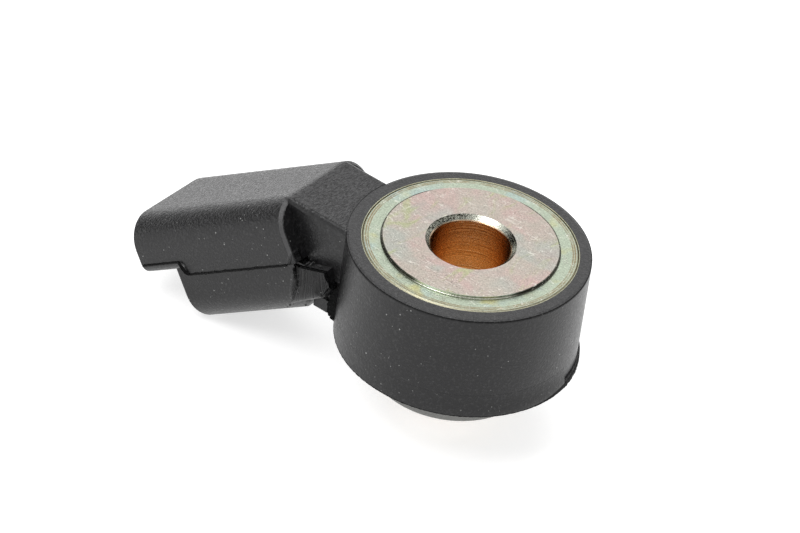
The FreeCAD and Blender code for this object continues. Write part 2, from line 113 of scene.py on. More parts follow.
def patchy(tree, place, look):  # clouds from their settings, with a soft step where steps are given
    if "stretch" in look:
        place = stretched(tree, place, look["stretch"], (0, 0, look["turn"]))
    usual = {"scale": 1.0, "detail": 2.0, "roughness": 0.5, "warp": 0.0}
    clouds = cloud(tree, place, **{name: look.get(name, value) for name, value in usual.items()})
    return fade(tree, clouds, *look["steps"]) if "steps" in look else clouds


def layered(tree, place, color, layers):  # each layer of clouds brings its own colour
    for look in layers:
        color = mixed(tree, times(tree, patchy(tree, place, look), look["share"]), color, look["color"])
    return color


def axes(tree, vector):
    return put(tree, "ShaderNodeSeparateXYZ", {0: vector}).outputs


def facingUp(tree):  # 1 on level faces, 0 on upright ones
    return axes(tree, tree.nodes.new("ShaderNodeTexCoord").outputs["Normal"])[2]


def startGroup(name, inputs, outputs):
    tree = bpy.data.node_groups.new(name, "ShaderNodeTree")
    for label, kind, value in inputs:
        socket = tree.interface.new_socket(label, in_out="INPUT", socket_type=kind)
        if value is not None:
            socket.default_value = value
    for label, kind in outputs:
        tree.interface.new_socket(label, in_out="OUTPUT", socket_type=kind)
    return tree, tree.nodes.new("NodeGroupInput").outputs, tree.nodes.new("NodeGroupOutput")


def useGroup(tree, name, inputs):
    node = tree.nodes.new("ShaderNodeGroup")
    node.node_tree = bpy.data.node_groups[name]
    for key, value in inputs.items():
        feed(tree, node.inputs[key], value)
    return node.outputs


# camera, floor and light

cameraPlace = {
    "spot": (0.222418, -0.347668, 0.304865),
    "right": (0.777819, 0.618152, 0.113520),
    "up": (-0.446468, 0.416337, 0.792041),
    "back": (0.442339, -0.666748, 0.599820),
    "lens": 225,
    "sensor": 36,
    "clip": (0.05, 10),
}


def addCamera():
    data = bpy.data.cameras.new("mainCamera")
    data.lens = cameraPlace["lens"]
    data.sensor_width = cameraPlace["sensor"]
    data.clip_start, data.clip_end = cameraPlace["clip"]
    camera = bpy.data.objects.new("mainCamera", data)
    turned = Matrix((cameraPlace["right"], cameraPlace["up"], cameraPlace["back"])).transposed()
    camera.matrix_world = Matrix.Translation(cameraPlace["spot"]) @ turned.to_4x4()
    scene.collection.objects.link(camera)
    scene.camera = camera


floorLook = {"level": -0.0216, "reach": 4.0, "color": (0.8, 0.8, 0.8, 1), "glow": 0.62}


def seenDirectly(tree):  # 1 for what the camera, a reflection or glass looks at
    path = tree.nodes.new("ShaderNodeLightPath").outputs
    seen = calc(tree, "MAXIMUM", path["Is Camera Ray"], path["Is Glossy Ray"])
    return calc(tree, "MAXIMUM", seen, path["Is Transmission Ray"])


def addFloor():
    shape = bmesh.new()
    bmesh.ops.create_grid(shape, x_segments=1, y_segments=1, size=floorLook["reach"])
    bmesh.ops.translate(shape, verts=shape.verts, vec=(0, 0, floorLook["level"]))
    floor = finishMesh("studioFloor", shape)
    material = bpy.data.materials.new("paleFloor")
    material.use_nodes = True
    tree = material.node_tree
    tree.nodes.clear()
    card = put(tree, "ShaderNodeBsdfDiffuse", {"Color": floorLook["color"]})
    strength = times(tree, seenDirectly(tree), floorLook["glow"])
    glow = put(tree, "ShaderNodeEmission", {"Color": (1, 1, 1, 1), "Strength": strength})
    both = put(tree, "ShaderNodeAddShader", {0: card.outputs[0], 1: glow.outputs[0]})
    put(tree, "ShaderNodeOutputMaterial", {"Surface": both.outputs[0]})
    floor.data.materials.append(material)


worldLook = {"seen": 1.0, "lighting": 0.6}

lampLook = [
    {"name": "frontSoftbox", "spot": (-0.10, -0.48, 0.68), "size": 0.36, "power": 2.3},
    {"name": "topSoftbox", "spot": (-0.10, 0.35, 0.80), "size": 0.5, "power": 1.6},
]

cardPaint = {"Base Color": (0.004, 0.004, 0.004, 1), "Roughness": 1.0}

cardLook = [  # black cards beside the set, for the dark reflections in metal and plastic
    {"name": "leftCard", "spot": (-0.62, -0.08, 0.22), "size": (0.58, 0.46)},
    {"name": "rightCard", "spot": (0.76, 0.25, 0.50), "size": (1.45, 0.58)},
    {"name": "backCard", "spot": (0.54, -0.64, 0.62), "size": (0.56, 0.66)},
]


def addLight():
    world = bpy.data.worlds.new("studioWorld")
    world.use_nodes = True
    scene.world = world
    tree = world.node_tree
    tree.nodes.clear()
    gap = worldLook["seen"] - worldLook["lighting"]
    strength = calc(tree, "MULTIPLY_ADD", seenDirectly(tree), gap, worldLook["lighting"])
    air = put(tree, "ShaderNodeBackground", {"Color": (1, 1, 1, 1), "Strength": strength})
    put(tree, "ShaderNodeOutputWorld", {"Surface": air.outputs[0]})
    for look in lampLook:
        data = bpy.data.lights.new(look["name"], "AREA")
        data.shape = "DISK"
        data.size = look["size"]
        data.energy = look["power"]
        lamp = bpy.data.objects.new(look["name"], data)
        lamp.location = look["spot"]
        lamp.rotation_euler = Vector(look["spot"]).to_track_quat("Z", "Y").to_euler()
        scene.collection.objects.link(lamp)


def addCards():
    black = bpy.data.materials.new("blackCard")
    black.use_nodes = True
    for label, value in cardPaint.items():
        black.node_tree.nodes["Principled BSDF"].inputs[label].default_value = value
    for look in cardLook:
        shape = bmesh.new()
        bmesh.ops.create_grid(shape, x_segments=1, y_segments=1, size=0.5)
        bmesh.ops.scale(shape, verts=shape.verts, vec=(*look["size"], 1))
        turn = Vector(look["spot"]).to_track_quat("Z", "Y").to_matrix()
        bmesh.ops.rotate(shape, verts=shape.verts, cent=(0, 0, 0), matrix=turn)
        bmesh.ops.translate(shape, verts=shape.verts, vec=look["spot"])
        card = finishMesh(look["name"], shape)
        card.data.materials.append(black)
        card.visible_camera = False
        card.visible_diffuse = False
        card.visible_shadow = False


def finishMesh(name, shape, smooth=False):
    mesh = bpy.data.meshes.new(name)
    shape.to_mesh(mesh)
    shape.free()
    if smooth:
        mesh.shade_smooth()
    made = bpy.data.objects.new(name, mesh)
    scene.collection.objects.link(made)
    return made


addCamera()
addFloor()
addLight()
addCards()
scene.view_settings.view_transform = "Standard"
print("camera, floor and light set")


# where the plug hood lies: its top face falls away from the bend of the neck

hoodPlace = {
    "tilt": math.radians(33.6),
    "ridge": (-18.05, -2.95, -0.36),
    "length": 22.5,
}
slope = Vector((-math.cos(hoodPlace["tilt"]), 0, -math.sin(hoodPlace["tilt"])))
under = Vector((math.sin(hoodPlace["tilt"]), 0, -math.cos(hoodPlace["tilt"])))
hoodMouth = Vector(hoodPlace["ridge"]) + slope * hoodPlace["length"]


def hoodSpot(inward, down, across):  # all in mm: from the mouth, under the top face, off the plug's middle
    return (hoodMouth - slope * inward + under * down + Vector((0, across, 0))) * mm


# effects that several materials share

grainMix = {"coarseDetail": 1.0, "finer": 2.7, "fineDetail": 2.0, "fineRoughness": 0.6, "fineShare": 0.5}


def makeMouldGrain():
    tree, given, out = startGroup(
        "mouldGrain",
        [("Place", "NodeSocketVector", None), ("Per mm", "NodeSocketFloat", 4.0)],
        [("Height", "NodeSocketFloat")],
    )
    look = grainMix
    coarse = cloud(tree, given["Place"], given["Per mm"], look["coarseDetail"])
    finer = times(tree, given["Per mm"], look["finer"])
    fine = cloud(tree, given["Place"], finer, look["fineDetail"], look["fineRoughness"])
    tree.links.new(calc(tree, "MULTIPLY_ADD", fine, look["fineShare"], coarse), out.inputs["Height"])


speckMix = {"size": (0.8, 0.4), "tone": (0.7, 0.3)}  # how much they vary, and the least


def makeDustSpecks():
    tree, given, out = startGroup(
        "dustSpecks",
        [("Place", "NodeSocketVector", None), ("Per mm", "NodeSocketFloat", 1.0),
         ("Share", "NodeSocketFloat", 0.3), ("Size", "NodeSocketFloat", 0.08)],
        [("Mask", "NodeSocketFloat")],
    )
    cells = put(tree, "ShaderNodeTexVoronoi", {"Vector": given["Place"], "Scale": given["Per mm"]})
    parts = put(tree, "ShaderNodeSeparateColor", {"Color": cells.outputs["Color"]}).outputs
    chosen = calc(tree, "LESS_THAN", parts[0], given["Share"])
    reach = times(tree, given["Size"], calc(tree, "MULTIPLY_ADD", parts[1], *speckMix["size"]))
    near = calc(tree, "LESS_THAN", cells.outputs["Distance"], reach)
    bright = calc(tree, "MULTIPLY_ADD", parts[2], *speckMix["tone"])
    tree.links.new(times(tree, near, chosen, bright), out.inputs["Mask"])


hairMix = {
    "strokes": (  # turn and stretch of two straight kinds and two curled ones
        (0.35, (0.2, 1.9, 1.9)), (1.25, (0.9, 1.1, 1.0)), (2.3, (0.5, 0.7, 0.6)), (2.9, (0.3, 3.0, 3.0)),
    ),
    "run": {"detail": 1.0, "roughness": 0.3, "warp": 0.9},
    "gapStretch": (0.45, 0.45, 0.45), "gapTurn": 3, "gapSoft": 0.06,
}


def makeHairScratches():
    tree, given, out = startGroup(
        "hairScratches",
        [("Place", "NodeSocketVector", None), ("Width", "NodeSocketFloat", 0.008),
         ("Share", "NodeSocketFloat", 0.5)],
        [("Mask", "NodeSocketFloat")],
    )
    look = hairMix
    total = 0.0
    for turn, reach in look["strokes"]:
        run = patchy(tree, given["Place"], {**look["run"], "stretch": reach, "turn": turn})
        line = fade(tree, calc(tree, "ABSOLUTE", calc(tree, "SUBTRACT", run, 0.5)), given["Width"], 0.0)
        gaps = patchy(tree, given["Place"], {"stretch": look["gapStretch"], "turn": turn * look["gapTurn"]})
        broken = fade(tree, calc(tree, "SUBTRACT", gaps, given["Share"]), 0.0, look["gapSoft"])
        total = calc(tree, "MAXIMUM", total, times(tree, line, broken))
    tree.links.new(total, out.inputs["Mask"])


ringMix = {"wander": 0.25, "wanderPerMm": 0.25, "wanderDetail": 1.0, "detail": 3.0, "roughness": 0.65}


def makeTurnedRings():
    tree, given, out = startGroup(
        "turnedRings",
        [("Place", "NodeSocketVector", None), ("Per mm", "NodeSocketFloat", 8.0)],
        [("Radius", "NodeSocketFloat"), ("Height", "NodeSocketFloat")],
    )
    look = ringMix
    parts = axes(tree, given["Place"])
    flat = put(tree, "ShaderNodeCombineXYZ", {0: parts[0], 1: parts[1], 2: 0.0}).outputs[0]
    radius = put(tree, "ShaderNodeVectorMath", {0: flat}, operation="LENGTH").outputs["Value"]
    clouds = cloud(tree, given["Place"], look["wanderPerMm"], look["wanderDetail"])
    wander = times(tree, clouds, look["wander"])
    depth = calc(tree, "ADD", calc(tree, "ADD", parts[2], radius), wander)
    rings = lineNoise(tree, depth, given["Per mm"], look["detail"], look["roughness"])
    tree.links.new(radius, out.inputs["Radius"])
    tree.links.new(rings, out.inputs["Height"])


makeMouldGrain()
makeDustSpecks()
makeHairScratches()
makeTurnedRings()
print("shared effects made")


# materials

def newMaterial(name, look):
    material = bpy.data.materials.new(name)
    material.use_nodes = True
    tree = material.node_tree
    shader = tree.nodes["Principled BSDF"]
    for label, value in look.items():
        shader.inputs[label].default_value = value
    place = put(tree, "ShaderNodeMapping", {
        "Vector": tree.nodes.new("ShaderNodeTexCoord").outputs["Object"], "Scale": (1000, 1000, 1000),
    }).outputs[0]  # all patterns below are in millimetres
    return material, tree, shader, place


def giveBump(tree, shader, height, depth):
    bump = put(tree, "ShaderNodeBump", {"Height": height, "Distance": depth, "Strength": 1.0})
    tree.links.new(bump.outputs[0], shader.inputs["Normal"])


mouldingLook = {
    "black": (0.0070, 0.0069, 0.0074, 1),
    "worn": (0.0130, 0.0128, 0.0135, 1),
    "grain": (0.034, 0.0335, 0.0345, 1),
    "paleGrainAndSheen": (0.105, 0.104, 0.106, 1),
    "collarLight": (0.290, 0.290, 0.278, 1),
    "darkScoresAndShade": (0.0020, 0.0020, 0.0022, 1),
    "dust": (0.44, 0.44, 0.43, 1),
    "plain": {"Metallic": 0.0, "IOR": 1.40},
    "rough": (0.5, 1.0, 0.37, 0.27),  # from low to high grain
    "wornPatches": {"scale": 0.22, "detail": 3.0, "roughness": 0.6},
    "wornShare": 0.6,
    "grainPerMm": 3.6,
    "grainDepth": 0.00006,
    "grainHeight": (0.3, 0.8, 0.45, 1.5),  # less on upright faces
}

topLook = {  # faces that look up: the rim, the neck and the top of the hood; their grain is painted paler where they face up, as painted light from above
    "level": (0.93, 0.98),
    "upper": (0.73, 0.835),
    "sideGrain": (0.78, 1.05),
    "hoodGrain": (0.66, 0.92, 0.08, 0.75),
    "rimGrain": (0.5, 1.0, 0.24, 0.40),
    "rimFrom": (-13.4, -13.0),
    "ringShift": (0, 0.2, 0),
    "neckFrom": (12.62, 12.78),
    "neckGrain": 0.3,
    "joint": (12.70, 0.03, 0.05),
    "jointShare": 0.8,
    "leather": {"stretch": (5.0, 1.8, 3.0), "turn": 0.08, "roughness": 0.6, "warp": 0.3},
    "leatherTone": (0.42, 0.60, 0.0, 0.55),
    "leatherDepth": 0.00020,
}

dustLook = {
    "specks": {"Per mm": 1.1, "Share": 0.60, "Size": 0.085},
    "fine": {"Per mm": 2.2, "Share": 0.32, "Size": 0.14},
    "finePatches": {"scale": 0.16, "steps": (0.42, 0.62)},
    "hairs": {"Width": 0.006, "Share": 0.64},
    "hairShare": 0.15,
    "upward": (0.75, 0.95),
    "leastOnTop": 0.15,
    "share": 0.85,
}

scoreLook = {  # scored face of the trimmed stub: score streaks with painted shade darkest at its top, and paler streaks as painted light towards its foot
    "x": (-12.4, 2.6, 0.4), "z": (-8.6, 3.6, 0.4), "front": (-8.8, -9.0),
    "bowMiddle": -8.5, "bow": 0.05,
    "perMm": 4.0, "detail": 4.0, "roughness": 0.7,
    "streaks": (0.42, 0.60, 1.0, 0.4),
    "shadeUpward": (-9.6, -7.4, 0.35, 1.0),
    "pale": (0.56, 0.68, 0.0, 0.7),
    "lightDownward": (-8.2, -9.4, 0.25, 1.0),
    "depth": 12.0,
}

edgeHighlightLook = {"inward": (22.27, 0.13, 0.04), "front": (-7.2, -8.2), "above": (-6.4, -5.6), "share": 0.8}

collarLook = {"below": (-12.62, -12.75), "behind": (-10.0, -9.6)}


def dustMask(tree, place, up):
    look = dustLook
    specks = useGroup(tree, "dustSpecks", {"Place": place, **look["specks"]})["Mask"]
    fine = useGroup(tree, "dustSpecks", {"Place": place, **look["fine"]})["Mask"]
    hairs = useGroup(tree, "hairScratches", {"Place": place, **look["hairs"]})["Mask"]
    dust = calc(tree, "MAXIMUM", specks, times(tree, fine, patchy(tree, place, look["finePatches"])))
    dust = calc(tree, "MAXIMUM", dust, times(tree, hairs, look["hairShare"]))
    wiped = fade(tree, fade(tree, up, *look["upward"]), 1.0, 0.0, look["leastOnTop"], 1.0)
    return times(tree, dust, wiped, look["share"])


def topTones(tree, color, xyz, up, grain, level, radius, neckTop, leather):
    look, tones = topLook, mouldingLook
    color = mixed(tree, fade(tree, grain, *look["sideGrain"]), color, tones["grain"])
    onBarrel = calc(tree, "MAXIMUM", level, fade(tree, xyz[0], *look["rimFrom"]))
    onHood, onRim = [fade(tree, grain, *look[name]) for name in ("hoodGrain", "rimGrain")]
    share = between(tree, onBarrel, onHood, onRim)
    share = times(tree, share, fade(tree, neckTop, 0.0, 1.0, 1.0, look["neckGrain"]))
    # painted light: grain on faces that look up is painted paler, as if lit from above
    color = mixed(tree, times(tree, fade(tree, up, *look["upper"]), share), color, tones["paleGrainAndSheen"])
    creased = times(tree, neckTop, fade(tree, leather, *look["leatherTone"]))
    color = mixed(tree, creased, color, tones["paleGrainAndSheen"])
    joint = times(tree, band(tree, radius, *look["joint"]), level, look["jointShare"])
    return mixed(tree, joint, color, tones["black"])


def stubScores(tree, color, xyz):
    look, tones = scoreLook, mouldingLook
    face = times(tree, band(tree, xyz[0], *look["x"]), band(tree, xyz[2], *look["z"]))
    face = times(tree, face, fade(tree, xyz[1], *look["front"]))
    rise = calc(tree, "SUBTRACT", xyz[2], look["bowMiddle"])
    bowed = calc(tree, "MULTIPLY_ADD", calc(tree, "POWER", rise, 2.0), look["bow"], xyz[0])
    scores = lineNoise(tree, bowed, look["perMm"], look["detail"], look["roughness"])
    # painted shade: the score streaks are darkened towards the top of the face
    dark = times(tree, face, fade(tree, xyz[2], *look["shadeUpward"]), fade(tree, scores, *look["streaks"]))
    color = mixed(tree, dark, color, tones["darkScoresAndShade"])
    # painted light: paler streaks towards the lower part of the face
    pale = times(tree, face, fade(tree, scores, *look["pale"]), fade(tree, xyz[2], *look["lightDownward"]))
    return mixed(tree, pale, color, tones["paleGrainAndSheen"]), times(tree, scores, face)


def hoodEdgeHighlight(tree, place, xyz):  # painted highlight along the back edge of the hood
    look = edgeHighlightLook
    along = put(tree, "ShaderNodeVectorMath", {0: place, 1: slope}, operation="DOT_PRODUCT").outputs["Value"]
    line = band(tree, calc(tree, "SUBTRACT", hoodMouth.dot(slope), along), *look["inward"])
    corner = times(tree, fade(tree, xyz[1], *look["front"]), fade(tree, xyz[2], *look["above"]))
    return times(tree, line, corner, look["share"])


def mouldedPlastic():
    look = mouldingLook
    material, tree, shader, place = newMaterial("blackMoulding", look["plain"])
    xyz, up = axes(tree, place), facingUp(tree)
    level = fade(tree, up, *topLook["level"])
    centred = stretched(tree, place, (1, 1, 1), shift=topLook["ringShift"])
    radius = useGroup(tree, "turnedRings", {"Place": centred})["Radius"]
    neckTop = times(tree, level, fade(tree, radius, *topLook["neckFrom"]))
    grain = useGroup(tree, "mouldGrain", {"Place": place, "Per mm": look["grainPerMm"]})["Height"]
    leather = patchy(tree, place, topLook["leather"])
    worn = times(tree, patchy(tree, place, look["wornPatches"]), look["wornShare"])
    color = mixed(tree, worn, look["black"], look["worn"])
    color = topTones(tree, color, xyz, up, grain, level, radius, neckTop, leather)
    color, scores = stubScores(tree, color, xyz)
    # painted highlight: a pale line along the back edge of the hood
    color = mixed(tree, hoodEdgeHighlight(tree, place, xyz), color, look["paleGrainAndSheen"])
    # painted light: the collar at the foot of the barrel is painted pale grey, as if lit from the floor below
    collar = times(tree, fade(tree, xyz[2], *collarLook["below"]), fade(tree, xyz[0], *collarLook["behind"]))
    color = mixed(tree, collar, color, look["collarLight"])
    color = mixed(tree, dustMask(tree, place, up), color, look["dust"])
    tree.links.new(color, shader.inputs["Base Color"])
    tree.links.new(fade(tree, grain, *look["rough"]), shader.inputs["Roughness"])
    # heights in units of the grain's depth
    height = times(tree, grain, fade(tree, up, *look["grainHeight"]))
    deeper = topLook["leatherDepth"] / look["grainDepth"]
    height = calc(tree, "MULTIPLY_ADD", times(tree, leather, neckTop), deeper, height)
    height = calc(tree, "MULTIPLY_ADD", scores, scoreLook["depth"], height)
    giveBump(tree, shader, height, look["grainDepth"])
    return material


sleeveLook = {
    "seat": (0.480, 0.430, 0.375, 1),
    "seatDark": (0.270, 0.240, 0.190, 1),
    "flange": (0.440, 0.500, 0.395, 1),
    "ringLines": (0.290, 0.235, 0.140, 1),
    "polished": (0.600, 0.610, 0.520, 1),
    "brim": (0.500, 0.470, 0.340, 1),
    "groove": (0.030, 0.028, 0.020, 1),
    "scratch": (0.78, 0.77, 0.70, 1),
    "spot": (0.16, 0.12, 0.07, 1),
    "seatRadius": 9.2,
    "flat": (0.9, 0.99),
    "ringsPerMm": 5.0,
    "mottle": {"scale": 5.5, "detail": 3.0, "roughness": 0.75},
    "stain": {"scale": 1.1, "detail": 4.0, "roughness": 0.7, "warp": 0.6, "steps": (0.52, 0.8, 0.0, 0.45)},
    "tone": (0.25, 0.75, 0.71, 1.27),
    "scratches": {"Width": 0.012, "Share": 0.50},
    "scratchShare": 0.6,
    "spots": {"Per mm": 1.2, "Share": 0.25, "Size": 0.07},
    "spotShare": 0.5,
    "dull": (0.3, 0.7, 0.28, 0.44),
    "bright": (0.3, 0.7, 0.12, 0.24),
    "brimDuller": 0.32,
    "depth": 0.000014,
    "ringHeight": (0.0, 1.0, 1.6, 0.6),
    "pitHeight": 2.5,
    "scratchHeight": 0.6,
}

seatClouds = [  # plating on the seating face: pink, grey and green
    {"color": (0.560, 0.375, 0.360, 1), "share": 0.62,
     "scale": 0.17, "detail": 4.0, "roughness": 0.62, "warp": 0.8, "steps": (0.40, 0.66)},
    {"color": (0.400, 0.450, 0.410, 1), "share": 0.55,
     "stretch": (0.16, 0.22, 0.2), "turn": 2.1, "warp": 0.6, "steps": (0.46, 0.66)},
    {"color": (0.420, 0.460, 0.245, 1), "share": 0.7,
     "stretch": (0.5, 0.2, 0.3), "turn": 0.6,
     "detail": 3.0, "roughness": 0.6, "warp": 1.0, "steps": (0.55, 0.72)},
]

flangeClouds = [  # plating on the flange: blue and yellow stretches
    {"color": (0.420, 0.520, 0.480, 1), "share": 1.0,
     "scale": 0.2, "warp": 0.5, "steps": (0.5, 0.65)},
    {"color": (0.540, 0.520, 0.250, 1), "share": 0.8,
     "stretch": (0.28, 0.28, 0.28), "turn": 1.3, "steps": (0.58, 0.72)},
]

flangeLook = {
    "lines": ((10.62, 0.04, 0.05), (10.85, 0.05, 0.06)),
    "broken": {"scale": 0.9, "detail": 3.0, "steps": (0.3, 0.6, 0.35, 1.0)},
    "outer": (10.4, 11.0, 0.0, 0.2),
    "brim": (10.9, 11.1),
    "foot": (9.25, 0.09, 0.04),  # groove round the seating disc, with painted shade in it but for its front
    "footTurn": 1.97,
    "footShadeLobes": (0.60, 0.25),
    "footShare": 0.92,
}

boreLook = {
    "color": (0.740, 0.465, 0.230, 1),
    "top": (0.600, 0.430, 0.290, 1),
    "lines": (0.400, 0.230, 0.100, 1),
    "radius": 4.3,
    "topFades": (-1.2, -4.5),
    "wander": {"scale": 0.18, "detail": 1.0},
    "wanderBy": 1.6,
    "linesPerMm": 3.4,
    "linesDetail": 3.0,
    "lineSteps": (0.56, 0.66),
    "lineShare": 0.5,
    "pitsLeft": (-2.2, -3.6),  # pits in the chamfer at the mouth of the bore
    "pitsRing": (5.15, 0.80, 0.03),
    "pits": (0.46, 0.56),
}


def flangeTones(tree, place, radius):
    look = flangeLook
    color = layered(tree, place, sleeveLook["flange"], flangeClouds)
    lines = calc(tree, "MAXIMUM", *[band(tree, radius, *line) for line in look["lines"]])
    lines = times(tree, lines, patchy(tree, place, look["broken"]))
    brown = calc(tree, "MAXIMUM", lines, fade(tree, radius, *look["outer"]))
    return mixed(tree, brown, color, sleeveLook["ringLines"])


def footShadeMask(tree, xyz, radius):
    look = flangeLook
    around = calc(tree, "ARCTAN2", xyz[1], xyz[0])
    # two lobes of painted shade, left and right; the front stays bright
    front = calc(tree, "COSINE", calc(tree, "MULTIPLY_ADD", around, 2.0, look["footTurn"]))
    dark = fade(tree, front, *look["footShadeLobes"])
    return times(tree, band(tree, radius, *look["foot"]), dark, look["footShare"])


def boreTones(tree, place, color, xyz, radius):
    look = boreLook
    inside = calc(tree, "LESS_THAN", radius, look["radius"])
    wall = mixed(tree, fade(tree, xyz[2], *look["topFades"]), look["top"], look["color"])
    color = mixed(tree, inside, color, wall)
    depth = calc(tree, "MULTIPLY_ADD", patchy(tree, place, look["wander"]), look["wanderBy"], xyz[2])
    lathe = lineNoise(tree, depth, look["linesPerMm"], look["linesDetail"])
    lines = times(tree, fade(tree, lathe, *look["lineSteps"]), inside, look["lineShare"])
    return mixed(tree, lines, color, look["lines"])


def platedSteel():
    look = sleeveLook
    material, tree, shader, place = newMaterial("platedSteel", {"Metallic": 1.0})
    xyz = axes(tree, place)
    turned = useGroup(tree, "turnedRings", {"Place": place, "Per mm": look["ringsPerMm"]})
    radius = turned["Radius"]
    flat = fade(tree, facingUp(tree), *look["flat"])
    brim = fade(tree, radius, *flangeLook["brim"])
    mottle = patchy(tree, place, look["mottle"])
    seat = layered(tree, place, look["seat"], seatClouds)
    onSeat = calc(tree, "LESS_THAN", radius, look["seatRadius"])
    color = mixed(tree, onSeat, flangeTones(tree, place, radius), seat)
    color = mixed(tree, flat, mixed(tree, brim, look["polished"], look["brim"]), color)
    # painted shade in the groove round the seating disc, on its left and right
    color = mixed(tree, footShadeMask(tree, xyz, radius), color, look["groove"])
    color = boreTones(tree, place, color, xyz, radius)
    color = mixed(tree, times(tree, patchy(tree, place, look["stain"]), flat), color, look["seatDark"])
    pitted = times(tree, fade(tree, xyz[0], *boreLook["pitsLeft"]), fade(tree, flat, 1.0, 0.0),
                   band(tree, radius, *boreLook["pitsRing"]))
    color = mixed(tree, times(tree, pitted, fade(tree, mottle, *boreLook["pits"])), color, look["groove"])
    tone = fade(tree, mottle, *look["tone"])
    grey = put(tree, "ShaderNodeCombineColor", {0: tone, 1: tone, 2: tone}).outputs[0]
    color = mixed(tree, 1.0, color, grey, "MULTIPLY")
    scratch = useGroup(tree, "hairScratches", {"Place": place, **look["scratches"]})["Mask"]
    scratch = times(tree, scratch, flat)
    color = mixed(tree, times(tree, scratch, look["scratchShare"]), color, look["scratch"])
    spots = useGroup(tree, "dustSpecks", {"Place": place, **look["spots"]})["Mask"]
    color = mixed(tree, times(tree, spots, flat, look["spotShare"]), color, look["spot"])
    tree.links.new(color, shader.inputs["Base Color"])
    bright = calc(tree, "MULTIPLY_ADD", brim, look["brimDuller"], fade(tree, mottle, *look["bright"]))
    tree.links.new(between(tree, flat, bright, fade(tree, mottle, *look["dull"])), shader.inputs["Roughness"])
    height = calc(tree, "MULTIPLY_ADD", turned["Height"], fade(tree, flat, *look["ringHeight"]), mottle)
    height = calc(tree, "MULTIPLY_ADD", times(tree, pitted, mottle), look["pitHeight"], height)
    height = calc(tree, "MULTIPLY_ADD", scratch, look["scratchHeight"], height)
    giveBump(tree, shader, height, look["depth"])
    return material


innerLooks = {  # solids inside the moulding; rings are the turned rings to the millimetre
    "insulationFilm": {
        "color": (0.42, 0.24, 0.07, 1), "second": (0.52, 0.33, 0.12, 1),
        "metal": 0.0, "rough": 0.32, "rings": 1.5,
        "worn": ("insulating_tube", "insulating_washer_1", "insulating_washer_2"),
    },
    "contactBrass": {
        "color": (0.62, 0.45, 0.18, 1), "second": (0.70, 0.55, 0.27, 1),
        "metal": 1.0, "rough": 0.28, "rings": 6.0,
        "worn": ("contact_disc_1", "contact_disc_2"),
    },
    "firedCeramic": {
        "color": (0.58, 0.55, 0.47, 1), "second": (0.66, 0.63, 0.56, 1),
        "metal": 0.0, "rough": 0.45, "rings": 2.0,
        "worn": ("piezo_ring",),
    },
    "turnedSteel": {
        "color": (0.50, 0.50, 0.50, 1), "second": (0.60, 0.60, 0.59, 1),
        "metal": 1.0, "rough": 0.30, "rings": 7.0,
        "worn": ("mass_ring", "disc_spring", "retaining_nut"),
    },
    "tinnedBlade": {
        "color": (0.60, 0.59, 0.55, 1), "second": (0.70, 0.68, 0.62, 1),
        "metal": 1.0, "rough": 0.24, "rings": 3.0,
        "worn": ("terminal_1", "terminal_2"),
    },
}

innerWear = {
    "mottle": {"scale": 1.3, "detail": 3.0, "roughness": 0.6},
    "roughSteps": (0.3, 0.7),
    "roughSpread": (-0.05, 0.08),
    "scratches": {"Width": 0.012, "Share": 0.5},
    "scratchDuller": 0.15,
    "depth": 0.00001,
}


def innerMaterial(name):
    look, wear = innerLooks[name], innerWear
    material, tree, shader, place = newMaterial(name, {"Metallic": look["metal"]})
    turned = useGroup(tree, "turnedRings", {"Place": place, "Per mm": look["rings"]})
    mottle = patchy(tree, place, wear["mottle"])
    tree.links.new(mixed(tree, mottle, look["color"], look["second"]), shader.inputs["Base Color"])
    scratch = useGroup(tree, "hairScratches", {"Place": place, **wear["scratches"]})["Mask"]
    limits = [look["rough"] + spread for spread in wear["roughSpread"]]
    rough = fade(tree, mottle, *wear["roughSteps"], *limits)
    rough = calc(tree, "MULTIPLY_ADD", scratch, wear["scratchDuller"], rough)
    tree.links.new(rough, shader.inputs["Roughness"])
    giveBump(tree, shader, calc(tree, "ADD", turned["Height"], mottle), wear["depth"])
    return material


def dress(node, material):
    nodes[node].material_slots[0].material = material


blackMoulding = mouldedPlastic()
sleeveSteel = platedSteel()
dress("housing", blackMoulding)
dress("sleeve", sleeveSteel)
for name, look in innerLooks.items():
    made = innerMaterial(name)
    for node in look["worn"]:
        dress(node, made)
print("materials given")


# rough torn plastic with pale crumbs in it

flashLook = {
    "color": (0.0022, 0.0022, 0.0024, 1), "crumb": (0.11, 0.109, 0.106, 1),
    "crumbs": 0.60, "rough": 0.75,
}

tornLook = {
    "color": (0.070, 0.070, 0.072, 1), "crumb": (0.26, 0.258, 0.25, 1),
    "crumbs": 0.52, "rough": 0.5,
}

crumbLook = {
    "clouds": {"scale": 3.5, "detail": 4.0, "roughness": 0.8},
    "soft": 0.12, "depth": 0.00008, "ior": 1.3,
}


def roughPlastic(name, look):
    material, tree, shader, place = newMaterial(name, {"Roughness": look["rough"], "IOR": crumbLook["ior"]})
    bits = patchy(tree, place, crumbLook["clouds"])
    crumbs = fade(tree, bits, look["crumbs"], look["crumbs"] + crumbLook["soft"])
    tree.links.new(mixed(tree, crumbs, look["color"], look["crumb"]), shader.inputs["Base Color"])
    giveBump(tree, shader, bits, crumbLook["depth"])
    return material


blackFlash = roughPlastic("blackFlash", flashLook)
tornPlastic = roughPlastic("tornPlastic", tornLook)


def keepPiece(name, shape, material, smooth=False):
    piece = finishMesh(name, shape, smooth)
    piece.data.materials.append(material)
    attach(piece, "root")


def thicken(shape, thick):
    bmesh.ops.solidify(shape, geom=shape.faces[:], thickness=thick * mm)
    bmesh.ops.recalc_face_normals(shape, faces=shape.faces)


def eased(value, low, high):
    part = min(max((value - low) / (high - low), 0), 1)
    return part * part * (3 - 2 * part)


def partWay(limits, share):
    return limits[0] + (limits[1] - limits[0]) * share


